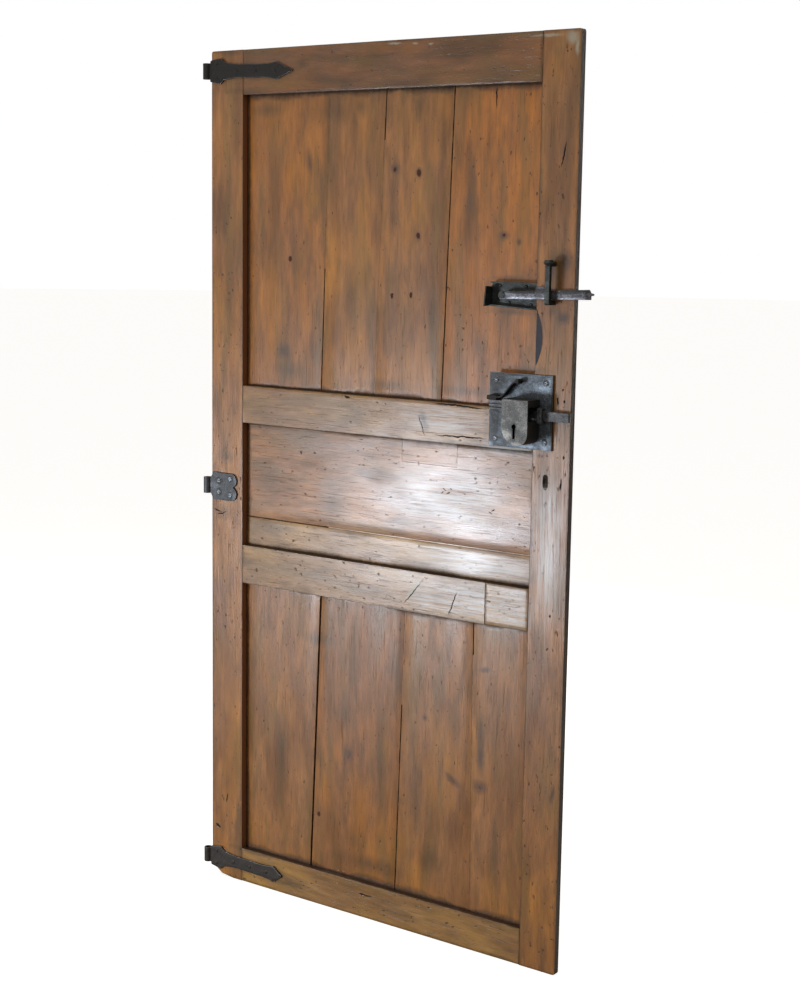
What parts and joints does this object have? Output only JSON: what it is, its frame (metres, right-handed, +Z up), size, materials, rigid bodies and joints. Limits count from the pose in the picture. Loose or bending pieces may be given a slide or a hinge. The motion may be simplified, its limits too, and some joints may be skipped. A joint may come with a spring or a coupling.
{
  "type": "wooden door",
  "caption": "Rustic rectangular framed and panelled wooden door leaf with forged strap hinges, a lifting bar latch and a sliding bolt in a raised rim lock.",
  "frame": {"origin": "on the hinge pins' line, at the lower face of the lowest hinge eye", "axes": "+Z up along the hinge line, +X across the leaf towards its latch edge, -Y out of the side that carries the ironwork"},
  "size_m": [1.0177, 0.08, 1.9],
  "materials": {
    "frame_pine": "waxed, worn",
    "panel_pine": "waxed, worn",
    "black_iron": "forged, blackened",
    "worn_iron": "forged, worn bare",
    "blued_iron": "hammered sheet, polished by use",
    "bright_steel": "worn bright"
  },
  "bodies": {
    "leaf": {"hinge_stile": "frame_pine", "lock_stile": "frame_pine", "top_rail": "frame_pine", "upper_lock_rail": "frame_pine", "lower_lock_rail": "frame_pine", "lock_rail_splice": "frame_pine", "bottom_rail": "frame_pine", "upper_board_1": "panel_pine", "upper_board_2": "panel_pine", "upper_board_3": "panel_pine", "upper_board_4": "panel_pine", "middle_board_high": "panel_pine", "middle_board_low": "panel_pine", "panel_patch": "panel_pine", "lower_board_1": "panel_pine", "lower_board_2": "panel_pine", "lower_board_3": "panel_pine", "lower_board_4": "panel_pine", "top_hinge_strap": "black_iron", "top_hinge_nails": "black_iron", "bottom_hinge_strap": "black_iron", "bottom_hinge_nails": "black_iron", "latch_tray": "black_iron", "latch_tray_nails": "black_iron", "latch_rivet": "black_iron", "latch_staple": "black_iron", "bolt_guide": "black_iron", "lock_spring": "black_iron", "spring_rivet": "black_iron", "key_ward": "black_iron", "middle_hinge_plate": "worn_iron", "lock_case": "worn_iron", "lock_plate": "blued_iron", "lock_screws": "blued_iron", "middle_hinge_screws": "bright_steel"},
    "latch": {"latch_bar": "worn_iron"},
    "bolt": {"lock_bolt": "worn_iron"}
  },
  "joints": [
    {"name": "latch_lift", "type": "hinge", "parent": "leaf", "child": "latch", "pos_m": [0.7985, -0.0035, 1.3635], "axis": [0, -1, 0], "range_deg": [0, 14]},
    {"name": "bolt_slide", "type": "slide", "parent": "leaf", "child": "bolt", "axis": [1, 0, 0], "range_m": [0, 0.022]}
  ]
}
